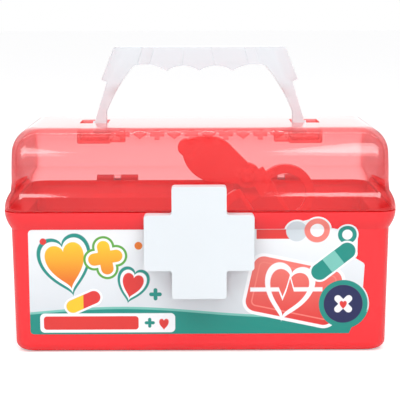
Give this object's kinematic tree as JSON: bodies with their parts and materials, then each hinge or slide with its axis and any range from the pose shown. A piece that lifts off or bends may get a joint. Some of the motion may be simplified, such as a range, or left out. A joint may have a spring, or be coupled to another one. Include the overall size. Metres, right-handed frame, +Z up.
{
  "type": "toy doctor case",
  "caption": "Moulded toy doctor case with a see-through hinged lid, folding carrying handle, cross-shaped front latch, printed label and a tray of toy instruments.",
  "frame": {"origin": "middle of the tub's flat underside", "axes": "+X along the case, +Y to the rear hinge, +Z up; the latch faces -Y"},
  "size_m": [0.26, 0.17, 0.201],
  "materials": {
    "tub_plastic": "glossy opaque red moulding",
    "lid_plastic": "glossy see-through red moulding",
    "white_plastic": "satin white moulding",
    "pin_steel": "plain wire",
    "label_print": "glossy printed sticker",
    "tray_plastic": "glossy opaque red moulding",
    "scissors_plastic": "glossy opaque red moulding",
    "yellow_plastic": "glossy moulding",
    "blue_plastic": "glossy moulding",
    "dial_print": "printed plate",
    "mirror_foil": "mirror foil disc"
  },
  "bodies": {
    "base": {"tub": "tub_plastic", "hinge_pin_left": "pin_steel", "hinge_pin_right": "pin_steel", "front_label": "label_print", "tool_tray": "tray_plastic", "scissors_half_rear": "scissors_plastic", "scissors_rivet": "scissors_plastic", "hammer_handle": "yellow_plastic", "hammer_head": "blue_plastic", "otoscope_body": "blue_plastic", "otoscope_cone": "yellow_plastic", "thermometer_body": "yellow_plastic", "thermometer_dial": "dial_print", "mirror_frame": "blue_plastic", "mirror_glass": "mirror_foil"},
    "lid": {"lid": "lid_plastic"},
    "handle": {"handle": "white_plastic"},
    "latch": {"cross_latch": "white_plastic", "latch_pin": "pin_steel"},
    "scissors_front": {"scissors_half_front": "scissors_plastic"}
  },
  "joints": [
    {"name": "lid_hinge", "type": "hinge", "parent": "base", "child": "lid", "pos_m": [0, 0.08, 0.096], "axis": [-1, 0, 0], "range_deg": [0, 115]},
    {"name": "handle_pivot", "type": "hinge", "parent": "lid", "child": "handle", "pos_m": [0, 0, 0.1445], "axis": [1, 0, 0], "range_deg": [-55, 55]},
    {"name": "latch_swing", "type": "hinge", "parent": "base", "child": "latch", "pos_m": [0, -0.0794, 0.0477], "axis": [1, 0, 0], "range_deg": [0, 95]},
    {"name": "scissors_pivot", "type": "hinge", "parent": "base", "child": "scissors_front", "pos_m": [0.034, 0, 0.11], "axis": [0, -1, 0], "range_deg": [0, 18]}
  ]
}
